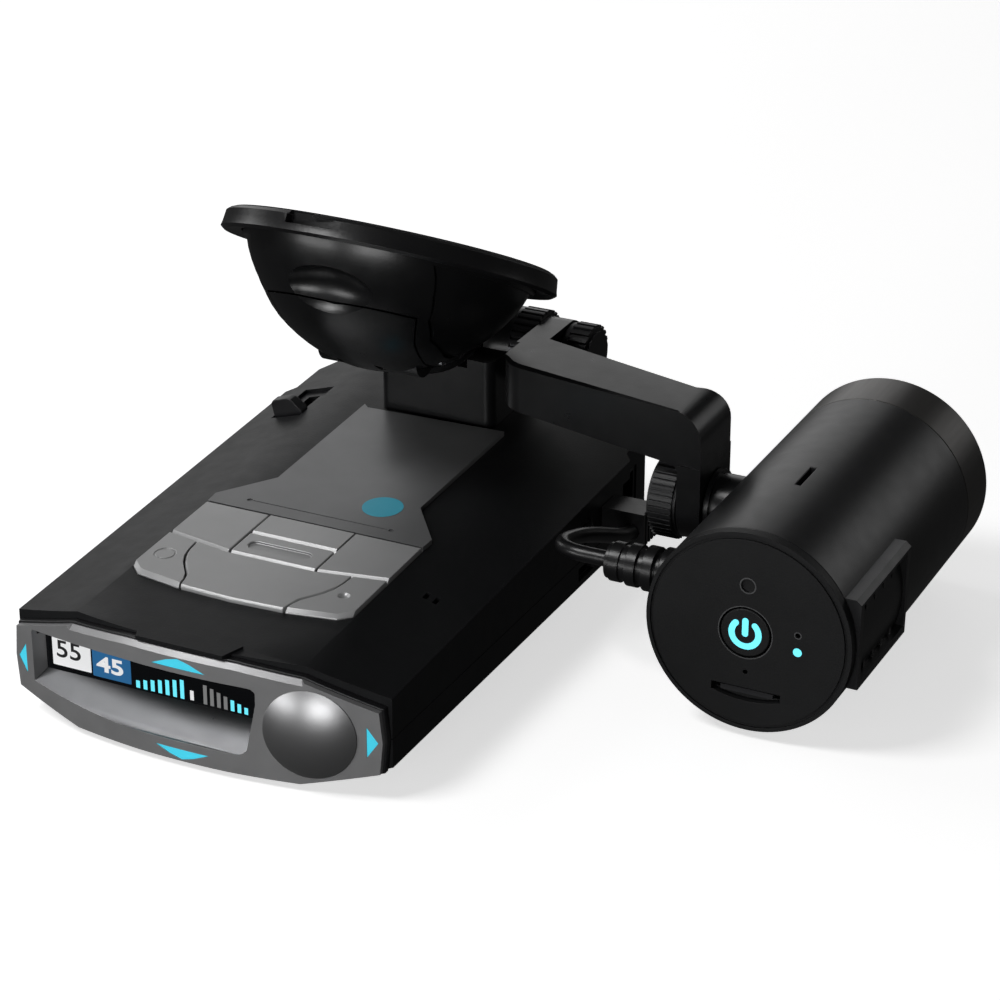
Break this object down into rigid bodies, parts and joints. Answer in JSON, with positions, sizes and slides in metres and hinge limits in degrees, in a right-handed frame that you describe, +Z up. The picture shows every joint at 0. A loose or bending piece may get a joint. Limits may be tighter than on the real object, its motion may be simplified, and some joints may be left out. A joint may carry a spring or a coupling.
{
  "type": "radar detector",
  "caption": "Dash radar detector with bowed display face and top keys, on a tilting suction cup mount with a side arm that holds a round dash camera.",
  "frame": {"origin": "centre of the suction cup's face, where it meets the windscreen", "axes": "+Z up, +Y forward along the car (away from the driver), +X to the driver's right"},
  "size_m": [0.158, 0.1413, 0.093],
  "materials": {
    "case_black": "fine satin moulded texture",
    "bezel_silver": "satin gunmetal lacquer",
    "gasket_black": "satin",
    "display_glass": "polished",
    "circuit_board": "solder mask",
    "lens_smoke": "polished",
    "arrow_cyan": "lit",
    "plate_grey": "satin lacquer",
    "key_grey": "satin lacquer",
    "soft_rubber": "matte",
    "horn_metal": "cast",
    "infrared_lens": "polished",
    "speaker_black": "satin",
    "antenna_ceramic": "matte",
    "steel": "satin",
    "jack_black": "satin",
    "mount_black": "fine satin moulded texture",
    "camera_black": "satin gloss",
    "band_bronze": "satin lacquer",
    "card_black": "satin"
  },
  "bodies": {
    "suction_mount": {"cup_housing": "mount_black", "cup_rim": "mount_black", "suction_pad": "soft_rubber", "plunger": "steel", "lever_pin": "steel"},
    "locking_lever": {"cup_lever": "mount_black"},
    "detector": {"top_shell": "case_black", "bottom_shell": "case_black", "front_bezel": "bezel_silver", "bezel_frame": "gasket_black", "display_window": "display_glass", "display_module": "circuit_board", "rear_laser_lens": "lens_smoke", "arrow_lights": "arrow_cyan", "control_plate": "plate_grey", "key_mat": "soft_rubber", "main_board": "circuit_board", "forward_horn": "horn_metal", "rearward_horn": "horn_metal", "front_laser_lens": "infrared_lens", "speaker": "speaker_black", "gps_antenna": "antenna_ceramic", "case_screws": "steel", "latch_spring": "steel", "mount_magnets": "steel", "power_jack": "jack_black", "headphone_jack": "jack_black", "camera_socket": "jack_black", "data_port": "steel", "mount_neck": "mount_black", "hinge_bolt": "steel", "toothed_washer": "mount_black", "bracket_arm": "mount_black", "pivot_bolt": "steel", "lead": "soft_rubber", "lead_plug": "soft_rubber"},
    "dash_camera": {"pivot_hub": "mount_black", "cam_barrel": "camera_black", "cam_end_cap": "camera_black", "cam_front_band": "band_bronze", "cam_window": "display_glass", "lens_module": "camera_black", "cam_board": "circuit_board", "status_light": "arrow_cyan", "card_socket": "steel", "cam_dock": "camera_black", "strain_relief": "soft_rubber"},
    "tilt_knob": {"hinge_knob": "mount_black"},
    "camera_wheel": {"thumbwheel": "mount_black"},
    "camera_power": {"power_button": "camera_black"},
    "memory_card": {"microsd_card": "card_black"},
    "release": {"release_button": "case_black"},
    "press_left_key": {"left_key": "key_grey"},
    "press_upper_key": {"upper_key": "key_grey"},
    "press_bar_key": {"bar_key": "key_grey"},
    "press_right_key": {"right_key": "key_grey"},
    "press_left_corner_key": {"left_corner_key": "key_grey"},
    "press_centre_key": {"centre_key": "key_grey"},
    "press_right_corner_key": {"right_corner_key": "key_grey"}
  },
  "joints": [
    {"name": "windshield_tilt", "type": "hinge", "parent": "suction_mount", "child": "detector", "pos_m": [0, 0.034, -0.033], "axis": [1, 0, 0], "range_deg": [-8, 12]},
    {"name": "lever_open", "type": "hinge", "parent": "suction_mount", "child": "locking_lever", "pos_m": [0, -0.00812, -0.0206], "axis": [1, 0, 0], "range_deg": [0, 50]},
    {"name": "camera_tilt", "type": "hinge", "parent": "detector", "child": "dash_camera", "pos_m": [0.068, 0.007, -0.048], "axis": [1, 0, 0], "range_deg": [-10, 8]},
    {"name": "tilt_knob_turn", "type": "hinge", "parent": "detector", "child": "tilt_knob", "pos_m": [0.027, 0.034, -0.033], "axis": [1, 0, 0], "continuous": true},
    {"name": "camera_wheel_turn", "type": "hinge", "parent": "detector", "child": "camera_wheel", "pos_m": [0.061, 0.007, -0.048], "axis": [1, 0, 0], "continuous": true},
    {"name": "camera_power_press", "type": "slide", "parent": "dash_camera", "child": "camera_power", "axis": [0, 1, 0], "range_m": [0, 0.0006], "stiffness_N_per_m": 800},
    {"name": "memory_card_pull", "type": "slide", "parent": "dash_camera", "child": "memory_card", "axis": [0, -1, 0], "range_m": [0, 0.012]},
    {"name": "release_slide", "type": "slide", "parent": "detector", "child": "release", "axis": [0, 0.9991, 0.0419], "range_m": [0, 0.009], "stiffness_N_per_m": 60},
    {"name": "left_key_press", "type": "slide", "parent": "detector", "child": "press_left_key", "axis": [0, 0.0419, -0.9991], "range_m": [0, 0.0006], "stiffness_N_per_m": 600},
    {"name": "upper_key_press", "type": "slide", "parent": "detector", "child": "press_upper_key", "axis": [0, 0.0419, -0.9991], "range_m": [0, 0.0006], "stiffness_N_per_m": 600},
    {"name": "bar_key_press", "type": "slide", "parent": "detector", "child": "press_bar_key", "axis": [0, 0.0419, -0.9991], "range_m": [0, 0.0006], "stiffness_N_per_m": 600},
    {"name": "right_key_press", "type": "slide", "parent": "detector", "child": "press_right_key", "axis": [0, 0.0419, -0.9991], "range_m": [0, 0.0006], "stiffness_N_per_m": 600},
    {"name": "left_corner_key_press", "type": "slide", "parent": "detector", "child": "press_left_corner_key", "axis": [0, 0.0419, -0.9991], "range_m": [0, 0.0006], "stiffness_N_per_m": 600},
    {"name": "centre_key_press", "type": "slide", "parent": "detector", "child": "press_centre_key", "axis": [0, 0.0419, -0.9991], "range_m": [0, 0.0006], "stiffness_N_per_m": 600},
    {"name": "right_corner_key_press", "type": "slide", "parent": "detector", "child": "press_right_corner_key", "axis": [0, 0.0419, -0.9991], "range_m": [0, 0.0006], "stiffness_N_per_m": 600}
  ]
}
